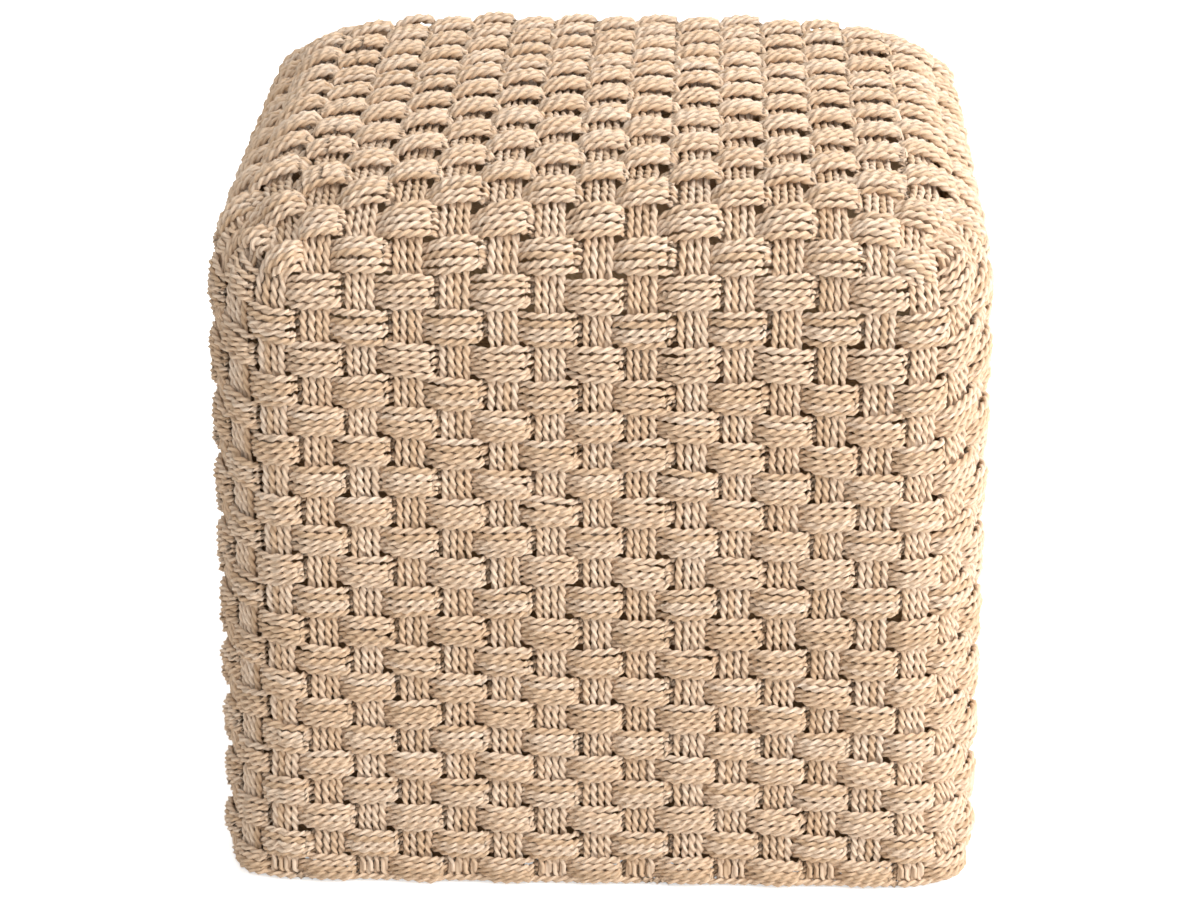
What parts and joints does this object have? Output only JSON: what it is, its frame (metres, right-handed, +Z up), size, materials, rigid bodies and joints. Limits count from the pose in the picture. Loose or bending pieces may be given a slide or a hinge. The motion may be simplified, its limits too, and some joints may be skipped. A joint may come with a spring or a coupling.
{
  "type": "outdoor ottoman footstool",
  "caption": "Cube-shaped outdoor ottoman: basket-woven rope cover over foam pads, an aluminium tube frame, a base panel and low glides.",
  "frame": {"origin": "centre of the footprint, on the floor under the glides", "axes": "+Z up; the front faces -Y, and its stakes run over the top from front to back; +X to the right"},
  "size_m": [0.458, 0.458, 0.432],
  "materials": {
    "weft_rope": "matte",
    "stake_rope": "matte",
    "liner_fabric": "matte",
    "pad_foam": "matte",
    "frame_aluminium": "powder coated, satin",
    "panel_plastic": "matte",
    "glide_plastic": "moulded, satin"
  },
  "bodies": {
    "root": {"back_pad": "pad_foam", "base_panel": "panel_plastic", "base_rail_back": "frame_aluminium", "base_rail_front": "frame_aluminium", "base_rail_left": "frame_aluminium", "base_rail_right": "frame_aluminium", "corner_stake_back_left": "stake_rope", "corner_stake_back_right": "stake_rope", "corner_stake_front_left": "stake_rope", "corner_stake_front_right": "stake_rope", "front_and_back_stakes": "stake_rope", "front_pad": "pad_foam", "glide_back_left": "glide_plastic", "glide_back_right": "glide_plastic", "glide_front_left": "glide_plastic", "glide_front_right": "glide_plastic", "inner_liner": "liner_fabric", "left_pad": "pad_foam", "left_side_stakes": "stake_rope", "post_back_left": "frame_aluminium", "post_back_right": "frame_aluminium", "post_front_left": "frame_aluminium", "post_front_right": "frame_aluminium", "right_pad": "pad_foam", "right_side_stakes": "stake_rope", "seat_board": "panel_plastic", "seat_pad": "pad_foam", "top_rail_back": "frame_aluminium", "top_rail_front": "frame_aluminium", "top_rail_left": "frame_aluminium", "top_rail_right": "frame_aluminium", "top_rows": "weft_rope", "weft_row_01": "weft_rope", "weft_row_02": "weft_rope", "weft_row_03": "weft_rope", "weft_row_04": "weft_rope", "weft_row_05": "weft_rope", "weft_row_06": "weft_rope", "weft_row_07": "weft_rope", "weft_row_08": "weft_rope", "weft_row_09": "weft_rope", "weft_row_10": "weft_rope", "weft_row_11": "weft_rope", "weft_row_12": "weft_rope", "weft_row_13": "weft_rope", "weft_row_14": "weft_rope", "weft_row_15": "weft_rope", "weft_row_16": "weft_rope", "weft_row_17": "weft_rope", "weft_row_18": "weft_rope", "weft_row_19": "weft_rope", "weft_row_20": "weft_rope", "weft_row_21": "weft_rope"}
  },
  "joints": []
}
